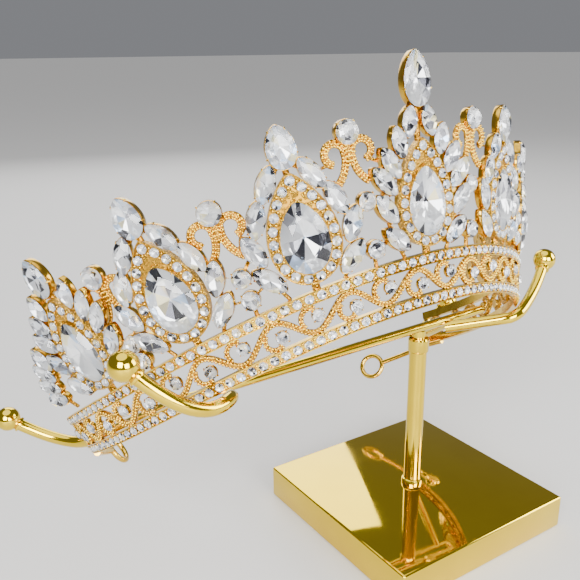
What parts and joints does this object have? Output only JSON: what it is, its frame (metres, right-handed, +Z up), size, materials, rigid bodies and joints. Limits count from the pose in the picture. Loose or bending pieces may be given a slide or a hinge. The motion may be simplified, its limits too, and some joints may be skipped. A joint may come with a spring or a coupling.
{
  "type": "crystal crown on a display stand",
  "caption": "Open arched crown of gold-plated metal set with clear drop, pear, leaf and round crystals, resting on a stand with a square base, a post and four arms.",
  "frame": {"origin": "centre of the base's underside", "axes": "+Z up, the crown's front looks along -Y, +X to the crown's left as worn"},
  "size_m": [0.1939, 0.1085, 0.1645],
  "materials": {
    "stand_gold": "polished gold plate",
    "crown_gold": "bright gold plate, grained on the wires",
    "crystal": "clear cut crystal with a silvery back"
  },
  "bodies": {
    "root": {"stand_base": "stand_gold", "stand_post": "stand_gold", "stand_head": "stand_gold", "crown_frame": "crown_gold", "band_rounds": "crystal", "drop_stone_1": "crystal", "drop_stone_2": "crystal", "drop_stone_3": "crystal", "drop_stone_4": "crystal", "drop_stone_5": "crystal", "drop_stone_6": "crystal", "drop_stone_7": "crystal", "pear_stone_1": "crystal", "pear_stone_2": "crystal", "pear_stone_3": "crystal", "pear_stone_4": "crystal", "pear_stone_5": "crystal", "pear_stone_6": "crystal", "pear_stone_7": "crystal", "leaf_stones_1": "crystal", "leaf_stones_2": "crystal", "leaf_stones_3": "crystal", "leaf_stones_4": "crystal", "leaf_stones_5": "crystal", "leaf_stones_6": "crystal", "leaf_stones_7": "crystal", "top_round_1": "crystal", "top_round_2": "crystal", "top_round_3": "crystal", "top_round_4": "crystal", "top_round_5": "crystal", "top_round_6": "crystal", "gap_round_1": "crystal", "gap_round_2": "crystal", "gap_round_3": "crystal", "gap_round_4": "crystal", "gap_round_5": "crystal", "gap_round_6": "crystal", "gap_round_7": "crystal", "gap_round_8": "crystal", "gap_round_9": "crystal", "gap_round_10": "crystal", "gap_round_11": "crystal", "gap_round_12": "crystal"}
  },
  "joints": []
}
